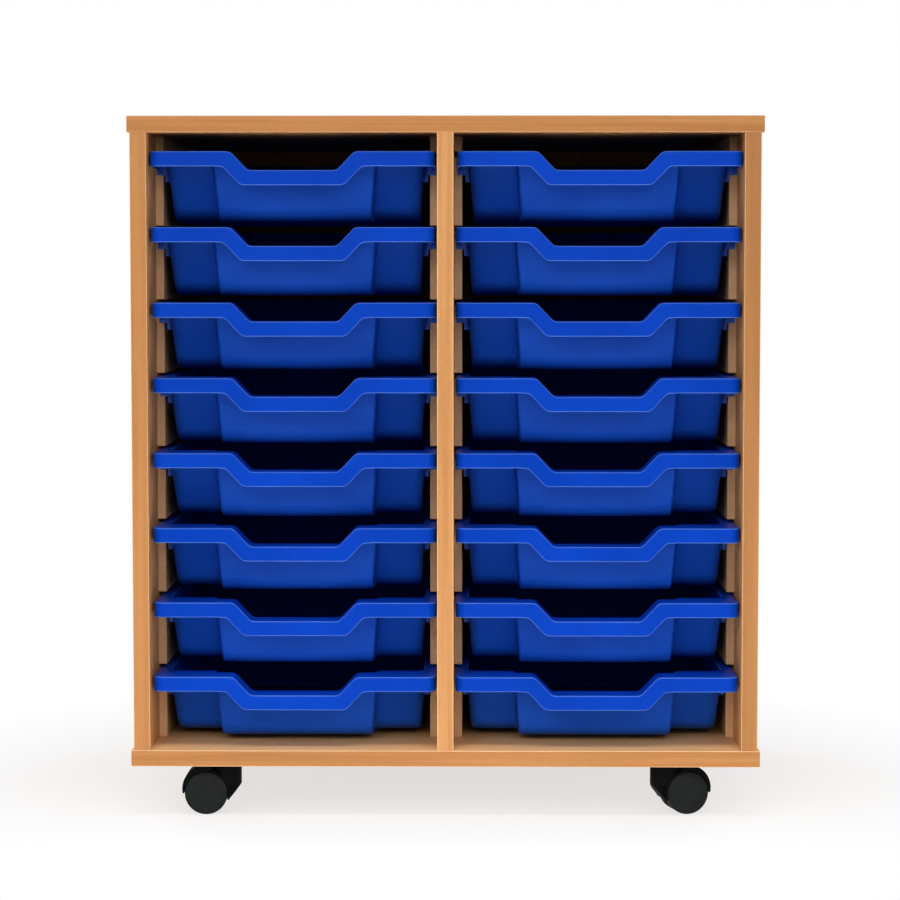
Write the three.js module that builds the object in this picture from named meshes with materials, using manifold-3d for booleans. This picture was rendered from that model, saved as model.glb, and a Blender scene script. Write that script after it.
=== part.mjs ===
// Classroom tray storage unit: a beech-faced board carcass with two columns of shallow plastic trays
// that slide in slotted runners, standing on four twin-wheel swivel casters.
// Millimetres. +X is the unit's right, the front faces -Y, +Z is up and the floor is z = 0.
import * as THREE from "three";
import { mergeVertices } from "three/addons/utils/BufferGeometryUtils.js";
import Module from "manifold-3d";

const wasm = await Module();
wasm.setup();

// Boards and their edging
const BOARD = 18;
const BACK_BOARD = 8;
const LIPPING = 2;
const LIPPING_ROUND = 1.8;
const PANEL_OVERHANG = 3;

// Trays: outside size of the rim, and how they stand in the carcass
const ROWS = 8;
const TRAY_WIDTH = 312;
const TRAY_DEPTH = 427;
const TRAY_HEIGHT = 75;
const TRAY_PITCH = 82.5;
const TRAY_SIDE_PLAY = 2.25;
const TRAY_RECESS = 8;
const REAR_CLEARANCE = 37;
const SPACE_ABOVE_TRAYS = 20;
const SPACE_BELOW_TRAYS = 5.5;

// Share of the side play that each tray has been pushed to the right, top row first
const LEFT_COLUMN_PUSH = [0, 0.1, 0.6, 0.7, 0.5, 0.4, 0.7, 0.2];
const RIGHT_COLUMN_PUSH = [0.7, 0, 0.1, 0.2, -0.1, 0.2, 0.1, -0.2];

// Tray walls, rim and front band
const TRAY_WALL = 2;
const RIM_THICKNESS = 3;
const RIM_CORNER = 7;
const REAR_RIM = 12;
const SIDE_DRAFT = 6;
const REAR_DRAFT = 9;
const BODY_CORNER = 14;
const BAND_HEIGHT = 16.5;
const BAND_THICKNESS = 2.5;
const FLOOR_CHAMFER = 16;
const FLOOR_SIDE_RUN = 2.5;
const FLOOR_BULGE_RUN = 20;
const FLOOR_CORNER_RUN = 34;
const KNEE_LIFT = 0.75;

// The tray's front wall: two corners set back under the rim and a bulge between them
const CORNER_SETBACK = 47;
const CORNER_SLOPE = 26;
const BULGE_SETBACK = 33;
const BULGE_SLOPE = 12;
const BULGE_HALF_WIDTH = 92;
const BULGE_FLANK = 2;
const BULGE_DRAFT = 6;
const BULGE_ROUND = 4;

// The dip in the front rim, where fingers reach in
const DIP_DEPTH = 20.5;
const DIP_FLOOR_HALF_WIDTH = 48.5;
const DIP_SLOPE_RUN = 19.5;
const DIP_BAND_SPREAD = 8;
const DIP_ROUND = 9;

// Runners with a slot for each tray rim
const RUNNER_THICKNESS = 9;
const RUNNER_SETBACK = 78;
const RUNNER_BODY_GAP = 3;
const RUNNER_SPINE_GAP = 5;
const SLOT_HEADROOM = 2.7;
const RUNNING_GAP = 0.3;

// Stop plates under the rim's front corners, which meet the runners' front edges
const STOP_THICKNESS = 3;
const STOP_GAP = 0.5;
const STOP_OUTER_DROP = 23.5;
const STOP_INNER_DROP = 31;

// Casters: places, and angles that the wheels trail at, counted from the unit's right
const CASTER_FROM_END = 102;
const CASTER_FROM_FRONT = 40;
const LEFT_CASTER_TURN = 180;
const RIGHT_CASTER_TURN = 15;
const CASTER_TRAIL = 22.2;

// Caster plates with their pintles, wheels and axles
const PLATE_SIZE = 40;
const PLATE_THICKNESS = 2.5;
const PLATE_HOLE_RADIUS = 2.2;
const PLATE_HOLE_EDGE = 5.5;
const PINTLE_RADIUS = 3.5;
const PINTLE_LENGTH = 12.5;
const WHEEL_RADIUS = 23.8;
const WHEEL_WIDTH = 11;
const WHEEL_EDGE = 1.2;
const WHEEL_DISC = 3;
const WHEEL_GAP = 0.5;
const AXLE_RADIUS = 3;
const SWIVEL_GAP = 0.5;
const FIT = 0.3;

// Caster hoods: a round swivel housing, a neck, and a fender round the wheels
const HOOD_HEADROOM = 3;
const HOOD_WALL = 1.9;
const HOOD_WHEEL_GAP = 0.8;
const HOOD_BORE_WALL = 1.2;
const HOUSING_RADIUS = 16.4;
const HOUSING_SKIRT = 1;
const HOUSING_SKIRT_HEIGHT = 5;
const HOUSING_HEIGHT = 27.4;
const HOUSING_TAPER = 5;
const HOUSING_FOOT_RADIUS = 10;
const NECK_HALF_WIDTH = 12;
const NECK_INSET = 0.4;
const AXLE_BOSS_RADIUS = 8;
const FENDER_RISE = 5;
const FENDER_CREST = 2.5;
const FENDER_TO = 196;

// Facets on round shapes
const ROUND_SIDES = 32;
const SMALL_ROUND_SIDES = 10;
const ARRIS_STEPS = 3;
const FENDER_OUTER_STEPS = 10;
const FENDER_INNER_STEPS = 9;
const DIP_STEPS = 1;
const CORNER_STEPS = 2;
const BULGE_STEPS = 1;
const LONGEST_ROUND = 0.45;

// Sizes that follow from those above
const BAY_WIDTH = TRAY_WIDTH + 2 * TRAY_SIDE_PLAY;
const CARCASS_WIDTH = 2 * BAY_WIDTH + 3 * BOARD;
const PANEL_WIDTH = CARCASS_WIDTH + 2 * PANEL_OVERHANG;
const CARCASS_DEPTH = TRAY_RECESS + TRAY_DEPTH + REAR_CLEARANCE + BACK_BOARD;
const INSIDE_HEIGHT = SPACE_ABOVE_TRAYS + (ROWS - 1) * TRAY_PITCH + TRAY_HEIGHT + SPACE_BELOW_TRAYS;
const CAVITY_RADIUS = WHEEL_RADIUS + HOOD_WHEEL_GAP;
const FENDER_RADIUS = CAVITY_RADIUS + HOOD_WALL;
const FENDER_HEIGHT = FENDER_RADIUS + FENDER_CREST;
const WHEEL_DROP = PLATE_THICKNESS + HOOD_HEADROOM + FENDER_HEIGHT;
const CASTER_HEIGHT = WHEEL_DROP + WHEEL_RADIUS;
const FRONT_Y = -CARCASS_DEPTH / 2;
const REAR_Y = CARCASS_DEPTH / 2;
const BACK_FACE_Y = REAR_Y - BACK_BOARD;
const TRAY_FRONT_Y = FRONT_Y + TRAY_RECESS;
const RUNNER_FRONT_Y = TRAY_FRONT_Y + RUNNER_SETBACK;
const UNDERSIDE_Z = CASTER_HEIGHT;
const INSIDE_BOTTOM_Z = UNDERSIDE_Z + BOARD;
const INSIDE_TOP_Z = INSIDE_BOTTOM_Z + INSIDE_HEIGHT;
const BAY_CENTRE_X = (BOARD + BAY_WIDTH) / 2;
const BODY_HALF_WIDTH = TRAY_WIDTH / 2 - RUNNER_THICKNESS - RUNNER_BODY_GAP;
const WEB_HALF_WIDTH = PINTLE_RADIUS + FIT + HOOD_BORE_WALL;
const HOOD_HALF_WIDTH = WEB_HALF_WIDTH + WHEEL_GAP + WHEEL_WIDTH;

const BEECH = { color: 0xcd8c58, roughness: 0.45, metalness: 0 };
const BEECH_EDGE = { color: 0xd09560, roughness: 0.4, metalness: 0 };
const BEECH_SHADE = { color: 0xb98a5c, roughness: 0.55, metalness: 0 };
const TRAY_BLUE = { color: 0x1448bc, roughness: 0.35, metalness: 0 };
const CASTER_BLACK = { color: 0x161617, roughness: 0.4, metalness: 0 };
const WHEEL_GREY = { color: 0x2a2c2e, roughness: 0.55, metalness: 0 };
const STEEL = { color: 0x9a9c9e, roughness: 0.35, metalness: 1 };

// Three.js geometry to a solid that can be cut or joined, and back
function solid(geometry) {
  const bare = geometry.clone();
  bare.deleteAttribute("normal");
  bare.deleteAttribute("uv");
  const merged = mergeVertices(bare, 1e-4);
  const vertProperties = new Float32Array(merged.attributes.position.array);
  const triVerts = new Uint32Array(merged.index.array);
  return new wasm.Manifold(new wasm.Mesh({ numProp: 3, vertProperties, triVerts }));
}

function geometryOf(body) {
  const mesh = body.getMesh();
  const geometry = new THREE.BufferGeometry();
  geometry.setAttribute("position", new THREE.BufferAttribute(mesh.vertProperties, 3));
  geometry.setIndex(new THREE.BufferAttribute(mesh.triVerts, 1));
  geometry.computeVertexNormals();
  return geometry;
}

function box(x0, x1, y0, y1, z0, z1) {
  const geometry = new THREE.BoxGeometry(x1 - x0, y1 - y0, z1 - z0);
  return geometry.translate((x0 + x1) / 2, (y0 + y1) / 2, (z0 + z1) / 2);
}

function extrude(points, depth) {
  const shape = new THREE.Shape(points);
  return new THREE.ExtrudeGeometry(shape, { depth, bevelEnabled: false });
}

// An outline drawn in X and Z, filled from y0 to y1
function alongY(points, y0, y1) {
  const geometry = extrude(points, y1 - y0);
  return geometry.rotateX(Math.PI / 2).translate(0, y1, 0);
}

// An outline drawn in Y and Z, filled from x0 to x1
function alongX(points, x0, x1) {
  const geometry = extrude(points, x1 - x0);
  return geometry.rotateY(Math.PI / 2).rotateX(Math.PI / 2).translate(x0, 0, 0);
}

function cylinderAlongY(radius, y0, y1, sides) {
  const geometry = new THREE.CylinderGeometry(radius, radius, y1 - y0, sides);
  return geometry.translate(0, (y0 + y1) / 2, 0);
}

function cylinderAlongZ(radius, z0, z1, sides) {
  const geometry = new THREE.CylinderGeometry(radius, radius, z1 - z0, sides);
  return geometry.rotateX(Math.PI / 2).translate(0, 0, (z0 + z1) / 2);
}

// Rounds one corner of an outline: points from the way in to the way out
function roundCorner(before, corner, after, radius, steps) {
  const toBefore = before.clone().sub(corner);
  const toAfter = after.clone().sub(corner);
  const half = Math.abs(toBefore.angleTo(toAfter)) / 2;
  const room = LONGEST_ROUND * Math.min(toBefore.length(), toAfter.length());
  const reach = Math.min(radius / Math.tan(half), room);
  const start = corner.clone().addScaledVector(toBefore.normalize(), reach);
  const end = corner.clone().addScaledVector(toAfter.normalize(), reach);
  const curve = new THREE.QuadraticBezierCurve(start, corner, end);
  return curve.getPoints(steps);
}

// Rounds every corner of a closed outline, given as [x, y, radius, steps]
function roundOutline(corners) {
  const points = corners.map(([x, y]) => new THREE.Vector2(x, y));
  const count = points.length;
  return corners.flatMap(([, , radius, steps], i) => {
    const before = points[(i + count - 1) % count];
    const after = points[(i + 1) % count];
    return radius > 0 ? roundCorner(before, points[i], after, radius, steps) : [points[i]];
  });
}

// A closed solid through outlines of equal count, lowest first: [{ z, points }]
function loft(levels) {
  const count = levels[0].points.length;
  const positions = levels.flatMap(({ z, points }) => points.flatMap((p) => [p.x, p.y, z]));
  const index = [];
  for (let level = 0; level < levels.length - 1; level += 1) {
    for (let i = 0; i < count; i += 1) {
      const next = (i + 1) % count;
      const a = level * count + i;
      const b = level * count + next;
      index.push(a, b, b + count, a, b + count, a + count);
    }
  }
  const topStart = (levels.length - 1) * count;
  for (const [a, b, c] of THREE.ShapeUtils.triangulateShape(levels[0].points, [])) {
    index.push(a, c, b);
  }
  for (const [a, b, c] of THREE.ShapeUtils.triangulateShape(levels.at(-1).points, [])) {
    index.push(topStart + a, topStart + b, topStart + c);
  }
  const geometry = new THREE.BufferGeometry();
  geometry.setAttribute("position", new THREE.Float32BufferAttribute(positions, 3));
  geometry.setIndex(index);
  return geometry;
}

const unit = new THREE.Group();

function addMesh(parent, name, geometry, look) {
  const mesh = new THREE.Mesh(geometry, new THREE.MeshStandardMaterial(look));
  mesh.name = name;
  parent.add(mesh);
  return mesh;
}

// Carcass boards
function addPanels() {
  const halfPanel = PANEL_WIDTH / 2 - LIPPING;
  const halfCarcass = CARCASS_WIDTH / 2;
  const boardFront = FRONT_Y + LIPPING;
  const topZ = INSIDE_TOP_Z + BOARD;
  const top = box(-halfPanel, halfPanel, boardFront, REAR_Y, INSIDE_TOP_Z, topZ);
  addMesh(unit, "top_panel", top, BEECH);
  const bottom = box(-halfPanel, halfPanel, boardFront, REAR_Y, UNDERSIDE_Z, INSIDE_BOTTOM_Z);
  addMesh(unit, "bottom_panel", bottom, BEECH);
  const left = box(-halfCarcass, BOARD - halfCarcass, boardFront, REAR_Y, INSIDE_BOTTOM_Z, INSIDE_TOP_Z);
  addMesh(unit, "left_side_panel", left, BEECH);
  const right = box(halfCarcass - BOARD, halfCarcass, boardFront, REAR_Y, INSIDE_BOTTOM_Z, INSIDE_TOP_Z);
  addMesh(unit, "right_side_panel", right, BEECH);
  const divider = box(-BOARD / 2, BOARD / 2, boardFront, BACK_FACE_Y, INSIDE_BOTTOM_Z, INSIDE_TOP_Z);
  addMesh(unit, "centre_divider", divider, BEECH);
  const backHalf = halfCarcass - BOARD;
  const back = box(-backHalf, backHalf, BACK_FACE_Y, REAR_Y, INSIDE_BOTTOM_Z, INSIDE_TOP_Z);
  addMesh(unit, "back_panel", back, BEECH_SHADE);
}

// Section of an edge strip: flat against the board at v = 0, its two outer edges rounded
function lippingSection() {
  const half = BOARD / 2;
  return roundOutline([
    [-half, 0, 0, 0],
    [half, 0, 0, 0],
    [half, LIPPING, LIPPING_ROUND, ARRIS_STEPS],
    [-half, LIPPING, LIPPING_ROUND, ARRIS_STEPS],
  ]);
}

function addLevelLipping(name, z) {
  const section = lippingSection();
  const frontSection = section.map((p) => new THREE.Vector2(FRONT_Y + LIPPING - p.y, z + p.x));
  const half = PANEL_WIDTH / 2;
  addMesh(unit, `${name}_front_lipping`, alongX(frontSection, -half, half), BEECH_EDGE);
  const endBase = half - LIPPING;
  const rightSection = section.map((p) => new THREE.Vector2(endBase + p.y, z - p.x));
  const leftSection = section.map((p) => new THREE.Vector2(-endBase - p.y, z + p.x));
  const endFront = FRONT_Y + LIPPING;
  addMesh(unit, `${name}_right_lipping`, alongY(rightSection, endFront, REAR_Y), BEECH_EDGE);
  addMesh(unit, `${name}_left_lipping`, alongY(leftSection, endFront, REAR_Y), BEECH_EDGE);
}

function addUprightLipping(name, x) {
  const section = lippingSection().map((p) => new THREE.Vector2(x - p.x, FRONT_Y + LIPPING - p.y));
  const strip = extrude(section, INSIDE_HEIGHT).translate(0, 0, INSIDE_BOTTOM_Z);
  addMesh(unit, `${name}_front_lipping`, strip, BEECH_EDGE);
}

function addLippings() {
  addLevelLipping("top", INSIDE_TOP_Z + BOARD / 2);
  addLevelLipping("bottom", UNDERSIDE_Z + BOARD / 2);
  addUprightLipping("left_side", (BOARD - CARCASS_WIDTH) / 2);
  addUprightLipping("right_side", (CARCASS_WIDTH - BOARD) / 2);
  addUprightLipping("divider", 0);
}

function rimTopZ(row) {
  return INSIDE_TOP_Z - SPACE_ABOVE_TRAYS - row * TRAY_PITCH;
}

// A runner is a board with one slot for each tray, open at the front and joined by a spine at the rear
function runnerOutline() {
  const slotEnd = TRAY_FRONT_Y + TRAY_DEPTH + RUNNER_SPINE_GAP;
  const points = [[BACK_FACE_Y, INSIDE_BOTTOM_Z], [BACK_FACE_Y, INSIDE_TOP_Z]];
  points.push([RUNNER_FRONT_Y, INSIDE_TOP_Z]);
  for (let row = 0; row < ROWS; row += 1) {
    const slotTop = rimTopZ(row) + SLOT_HEADROOM;
    const slotBottom = rimTopZ(row) - RIM_THICKNESS - RUNNING_GAP;
    points.push([RUNNER_FRONT_Y, slotTop], [slotEnd, slotTop]);
    points.push([slotEnd, slotBottom], [RUNNER_FRONT_Y, slotBottom]);
  }
  points.push([RUNNER_FRONT_Y, INSIDE_BOTTOM_Z]);
  return points.map(([y, z]) => new THREE.Vector2(y, z));
}

function addRunners() {
  const outline = runnerOutline();
  for (const [bay, centre] of [["left", -BAY_CENTRE_X], ["right", BAY_CENTRE_X]]) {
    const leftFace = centre - BAY_WIDTH / 2;
    const rightFace = centre + BAY_WIDTH / 2;
    const leftRunner = alongX(outline, leftFace, leftFace + RUNNER_THICKNESS);
    addMesh(unit, `${bay}_bay_left_runner`, leftRunner, BEECH_SHADE);
    const rightRunner = alongX(outline, rightFace - RUNNER_THICKNESS, rightFace);
    addMesh(unit, `${bay}_bay_right_runner`, rightRunner, BEECH_SHADE);
  }
}

// Plan of the tray body, its front at small y. The inset moves every wall inwards
function bodyPlan(halfWidth, bulgeHalfWidth, corner, bulge, rear, inset) {
  const side = halfWidth - inset;
  const flank = bulgeHalfWidth - inset;
  const cornerY = corner + inset;
  const bulgeY = bulge + inset;
  const rearY = rear - inset;
  const noseX = flank - BULGE_FLANK;
  return roundOutline([
    [-side, cornerY, BODY_CORNER, CORNER_STEPS],
    [-flank, cornerY, BULGE_ROUND, BULGE_STEPS],
    [-noseX, bulgeY, BULGE_ROUND, BULGE_STEPS],
    [noseX, bulgeY, BULGE_ROUND, BULGE_STEPS],
    [flank, cornerY, BULGE_ROUND, BULGE_STEPS],
    [side, cornerY, BODY_CORNER, CORNER_STEPS],
    [side, rearY, BODY_CORNER, CORNER_STEPS],
    [-side, rearY, BODY_CORNER, CORNER_STEPS],
  ]);
}

// Tray body as a solid block: walls lean in, and a chamfer leads to the floor. The knee between them
// is lifted on the inside, so that the chamfer keeps its thickness
function bodyBlock(inset, floorZ, topZ) {
  const rear = TRAY_DEPTH - REAR_RIM;
  const kneeShare = (TRAY_HEIGHT - FLOOR_CHAMFER) / TRAY_HEIGHT;
  const kneeZ = KNEE_LIFT * inset - TRAY_HEIGHT * kneeShare;
  const cornerKnee = CORNER_SETBACK + CORNER_SLOPE;
  const bulgeKnee = BULGE_SETBACK + BULGE_SLOPE;
  const bulgeKneeHalf = BULGE_HALF_WIDTH - BULGE_DRAFT * kneeShare;
  const bulgeFloorHalf = BULGE_HALF_WIDTH - BULGE_DRAFT;
  const sideKnee = BODY_HALF_WIDTH - SIDE_DRAFT * kneeShare;
  const rearKnee = rear - REAR_DRAFT * kneeShare;
  const mouth = bodyPlan(BODY_HALF_WIDTH, BULGE_HALF_WIDTH, CORNER_SETBACK, BULGE_SETBACK, rear, inset);
  const knee = bodyPlan(sideKnee, bulgeKneeHalf, cornerKnee, bulgeKnee, rearKnee, inset);
  const floor = bodyPlan(
    sideKnee - FLOOR_SIDE_RUN,
    bulgeFloorHalf,
    cornerKnee + FLOOR_CORNER_RUN,
    bulgeKnee + FLOOR_BULGE_RUN,
    rearKnee - FLOOR_SIDE_RUN,
    inset,
  );
  const levels = [{ z: floorZ, points: floor }, { z: kneeZ, points: knee }, { z: 0, points: mouth }];
  if (topZ > 0) {
    levels.push({ z: topZ, points: mouth });
  }
  return solid(loft(levels));
}

// Height of the front rim along X: level at the ends, with a dip in the middle
function dipLine(drop, spread) {
  const floorX = DIP_FLOOR_HALF_WIDTH + spread;
  const brinkX = floorX + DIP_SLOPE_RUN;
  const end = new THREE.Vector2(TRAY_WIDTH / 2, -drop);
  const brink = new THREE.Vector2(brinkX, -drop);
  const foot = new THREE.Vector2(floorX, -drop - DIP_DEPTH);
  const middle = new THREE.Vector2(0, -drop - DIP_DEPTH);
  const right = [
    ...roundCorner(middle, foot, brink, DIP_ROUND, DIP_STEPS),
    ...roundCorner(foot, brink, end, DIP_ROUND, DIP_STEPS),
  ];
  const left = right.map((p) => new THREE.Vector2(-p.x, p.y)).reverse();
  return [...left, ...right];
}

function rimPlate() {
  const half = TRAY_WIDTH / 2;
  const outline = roundOutline([
    [-half, 0, RIM_CORNER, CORNER_STEPS],
    [half, 0, RIM_CORNER, CORNER_STEPS],
    [half, TRAY_DEPTH, RIM_CORNER, CORNER_STEPS],
    [-half, TRAY_DEPTH, RIM_CORNER, CORNER_STEPS],
  ]);
  return solid(extrude(outline, RIM_THICKNESS).translate(0, 0, -RIM_THICKNESS));
}

// Everything above the dip, to be cut away from the rim and the bulge's top edge
function dipCutter() {
  const above = RIM_THICKNESS;
  const line = dipLine(0, 0);
  const outline = [...line, new THREE.Vector2(line.at(-1).x, above), new THREE.Vector2(line[0].x, above)];
  return solid(alongY(outline, -BAND_THICKNESS, CORNER_SETBACK + TRAY_WALL));
}

// The rim carried down through the dip, from the band back to the bulge
function dipShelf() {
  const upper = dipLine(0, 0);
  const lower = upper.map((p) => new THREE.Vector2(p.x, p.y - RIM_THICKNESS)).reverse();
  return solid(alongY([...upper, ...lower], 0, CORNER_SETBACK));
}

// The band hangs from the rim across the front and round both corners, back to the stop plates
function frontBand() {
  const half = TRAY_WIDTH / 2;
  const inside = half - BAND_THICKNESS;
  const end = RUNNER_SETBACK - STOP_GAP - STOP_THICKNESS / 2;
  const insideCorner = RIM_CORNER - BAND_THICKNESS;
  const plan = roundOutline([
    [-half, 0, RIM_CORNER, CORNER_STEPS],
    [half, 0, RIM_CORNER, CORNER_STEPS],
    [half, end, 0, 0],
    [inside, end, 0, 0],
    [inside, BAND_THICKNESS, insideCorner, CORNER_STEPS],
    [-inside, BAND_THICKNESS, insideCorner, CORNER_STEPS],
    [-inside, end, 0, 0],
    [-half, end, 0, 0],
  ]);
  const face = [
    new THREE.Vector2(-TRAY_WIDTH, 0),
    ...dipLine(0, 0),
    new THREE.Vector2(TRAY_WIDTH, 0),
    new THREE.Vector2(TRAY_WIDTH, -BAND_HEIGHT),
    ...dipLine(BAND_HEIGHT, DIP_BAND_SPREAD).reverse(),
    new THREE.Vector2(-TRAY_WIDTH, -BAND_HEIGHT),
  ];
  const skirt = extrude(plan, TRAY_HEIGHT).translate(0, 0, -TRAY_HEIGHT);
  return solid(skirt).intersect(solid(alongY(face, -TRAY_DEPTH, TRAY_DEPTH)));
}

// Stepped plate between the rim and the body, standing just in front of a runner
function stopPlate(side) {
  const outer = TRAY_WIDTH / 2;
  const step = BODY_HALF_WIDTH + RUNNER_BODY_GAP;
  const inner = BODY_HALF_WIDTH - SIDE_DRAFT - TRAY_WALL;
  const outline = [
    [inner, -RIM_THICKNESS / 2],
    [inner, -STOP_INNER_DROP],
    [step, -STOP_INNER_DROP],
    [step, -STOP_OUTER_DROP],
    [outer, -STOP_OUTER_DROP],
    [outer, -RIM_THICKNESS / 2],
  ].map(([x, z]) => new THREE.Vector2(side * x, z));
  const rear = RUNNER_SETBACK - STOP_GAP;
  return solid(alongY(outline, rear - STOP_THICKNESS, rear));
}

function trayGeometry() {
  const clearOfRim = RIM_THICKNESS;
  const cavity = bodyBlock(TRAY_WALL, TRAY_WALL - TRAY_HEIGHT, clearOfRim);
  const tray = bodyBlock(0, -TRAY_HEIGHT, 0)
    .add(rimPlate())
    .subtract(dipCutter())
    .add(dipShelf())
    .add(stopPlate(-1))
    .add(stopPlate(1))
    .subtract(cavity)
    .add(frontBand());
  return geometryOf(tray.asOriginal());
}

function addTrays() {
  const geometry = trayGeometry();
  const columns = [
    ["left", -BAY_CENTRE_X, LEFT_COLUMN_PUSH],
    ["right", BAY_CENTRE_X, RIGHT_COLUMN_PUSH],
  ];
  for (const [column, centre, push] of columns) {
    for (let row = 0; row < ROWS; row += 1) {
      const tray = addMesh(unit, `tray_${column}_${row + 1}`, geometry, TRAY_BLUE);
      const shift = (push[row] ?? 0) * TRAY_SIDE_PLAY;
      tray.position.set(centre + shift, TRAY_FRONT_Y, rimTopZ(row));
    }
  }
}

// Caster pieces share one local frame: the swivel axis is Z, the plate's top is z = 0 and the wheels
// trail to +X
function casterPlate() {
  const half = PLATE_SIZE / 2;
  const hole = half - PLATE_HOLE_EDGE;
  const pintleEnd = -PLATE_THICKNESS - PINTLE_LENGTH;
  const drillFrom = -2 * PLATE_THICKNESS;
  const drillTo = PLATE_THICKNESS;
  let plate = solid(box(-half, half, -half, half, -PLATE_THICKNESS, 0));
  const pintle = cylinderAlongZ(PINTLE_RADIUS, pintleEnd, -PLATE_THICKNESS / 2, SMALL_ROUND_SIDES);
  plate = plate.add(solid(pintle));
  for (const x of [-hole, hole]) {
    for (const y of [-hole, hole]) {
      const drill = cylinderAlongZ(PLATE_HOLE_RADIUS, drillFrom, drillTo, SMALL_ROUND_SIDES);
      plate = plate.subtract(solid(drill.translate(x, y, 0)));
    }
  }
  return geometryOf(plate.asOriginal());
}

function arcPoints(centreX, centreZ, radius, from, to, steps) {
  return Array.from({ length: steps + 1 }, (_, i) => {
    const angle = THREE.MathUtils.degToRad(from + ((to - from) * i) / steps);
    return new THREE.Vector2(centreX + radius * Math.cos(angle), centreZ + radius * Math.sin(angle));
  });
}

// The fender's outline round the wheels: an arc centred above the axle on the outer side, from the axle's
// level up to a flat crest, and an arc round the axle on the inner side
function fenderOutline() {
  const { radToDeg } = THREE.MathUtils;
  const from = -radToDeg(Math.asin(FENDER_RISE / FENDER_RADIUS));
  const to = radToDeg(Math.asin((FENDER_HEIGHT - FENDER_RISE) / FENDER_RADIUS));
  const innerFrom = 90 + radToDeg(Math.acos(FENDER_RADIUS / FENDER_HEIGHT));
  const outerCentreZ = FENDER_RISE - WHEEL_DROP;
  return [
    ...arcPoints(CASTER_TRAIL, outerCentreZ, FENDER_RADIUS, from, to, FENDER_OUTER_STEPS),
    new THREE.Vector2(CASTER_TRAIL, FENDER_HEIGHT - WHEEL_DROP),
    ...arcPoints(CASTER_TRAIL, -WHEEL_DROP, FENDER_RADIUS, innerFrom, FENDER_TO, FENDER_INNER_STEPS),
  ];
}

// The upper part of the hood as a block: cutting the wheels' room leaves a fender over a web
function hoodBlock() {
  return solid(alongY(fenderOutline(), -HOOD_HALF_WIDTH, HOOD_HALF_WIDTH));
}

function axleBoss() {
  const boss = cylinderAlongY(AXLE_BOSS_RADIUS, -WEB_HALF_WIDTH, WEB_HALF_WIDTH, SMALL_ROUND_SIDES);
  return solid(boss.translate(CASTER_TRAIL, 0, -WHEEL_DROP));
}

// The round swivel housing, flared towards the plate
function hoodHousing() {
  const top = -PLATE_THICKNESS - SWIVEL_GAP;
  const profile = [
    [0, top - HOUSING_HEIGHT],
    [HOUSING_FOOT_RADIUS, top - HOUSING_HEIGHT],
    [HOUSING_RADIUS, top - HOUSING_HEIGHT + HOUSING_TAPER],
    [HOUSING_RADIUS, top - HOUSING_SKIRT_HEIGHT],
    [HOUSING_RADIUS + HOUSING_SKIRT, top],
    [0, top],
  ].map(([r, z]) => new THREE.Vector2(r, z));
  return solid(new THREE.LatheGeometry(profile, ROUND_SIDES).rotateX(Math.PI / 2));
}

// Sloping neck from the housing down to the fender's inner end, as round at its rear as the housing
function hoodNeck() {
  const top = -PLATE_THICKNESS - SWIVEL_GAP - HOUSING_SKIRT_HEIGHT;
  const bend = -PLATE_THICKNESS - SWIVEL_GAP - HOUSING_HEIGHT + HOUSING_TAPER;
  const foot = fenderOutline().at(-1);
  const outline = [
    new THREE.Vector2(-HOUSING_RADIUS, top),
    new THREE.Vector2(-HOUSING_RADIUS, bend),
    foot,
    new THREE.Vector2(CASTER_TRAIL, foot.y),
    new THREE.Vector2(CASTER_TRAIL, top),
  ];
  const slab = solid(alongY(outline, -NECK_HALF_WIDTH, NECK_HALF_WIDTH));
  const rear = solid(cylinderAlongZ(HOUSING_RADIUS - NECK_INSET, -CASTER_HEIGHT, 0, ROUND_SIDES));
  const ahead = solid(box(0, 2 * CASTER_TRAIL, -HOUSING_RADIUS, HOUSING_RADIUS, -CASTER_HEIGHT, 0));
  return slab.intersect(rear.add(ahead));
}

function wheelCavity(side) {
  const near = side * WEB_HALF_WIDTH;
  const far = side * (HOOD_HALF_WIDTH + WHEEL_WIDTH);
  const cavity = cylinderAlongY(CAVITY_RADIUS, Math.min(near, far), Math.max(near, far), ROUND_SIDES);
  return solid(cavity.translate(CASTER_TRAIL, 0, -WHEEL_DROP));
}

function casterHood() {
  const boreFloor = -PLATE_THICKNESS - PINTLE_LENGTH - FIT;
  const bore = cylinderAlongZ(PINTLE_RADIUS + FIT, boreFloor, 0, SMALL_ROUND_SIDES);
  const boreReach = 2 * WEB_HALF_WIDTH;
  const axleBore = cylinderAlongY(AXLE_RADIUS + FIT, -boreReach, boreReach, SMALL_ROUND_SIDES);
  const hood = hoodHousing()
    .add(hoodNeck())
    .add(hoodBlock())
    .subtract(wheelCavity(-1))
    .subtract(wheelCavity(1))
    .add(axleBoss())
    .subtract(solid(bore))
    .subtract(solid(axleBore.translate(CASTER_TRAIL, 0, -WHEEL_DROP)));
  return geometryOf(hood.asOriginal());
}

// A wheel: flat towards the web, a closed disc outside, with a blind bore for the axle
function casterWheel() {
  const boreEnd = WHEEL_WIDTH - WHEEL_DISC;
  const profile = [
    [0, boreEnd],
    [AXLE_RADIUS + FIT, boreEnd],
    [AXLE_RADIUS + FIT, 0],
    [WHEEL_RADIUS - WHEEL_EDGE, 0],
    [WHEEL_RADIUS, WHEEL_EDGE],
    [WHEEL_RADIUS, WHEEL_WIDTH - WHEEL_EDGE],
    [WHEEL_RADIUS - WHEEL_EDGE, WHEEL_WIDTH],
    [0, WHEEL_WIDTH],
  ].map(([r, t]) => new THREE.Vector2(r, t));
  return new THREE.LatheGeometry(profile, ROUND_SIDES);
}

function casterAxle() {
  const reach = WEB_HALF_WIDTH + WHEEL_GAP + WHEEL_WIDTH - WHEEL_DISC - FIT;
  return cylinderAlongY(AXLE_RADIUS, -reach, reach, SMALL_ROUND_SIDES);
}

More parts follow.
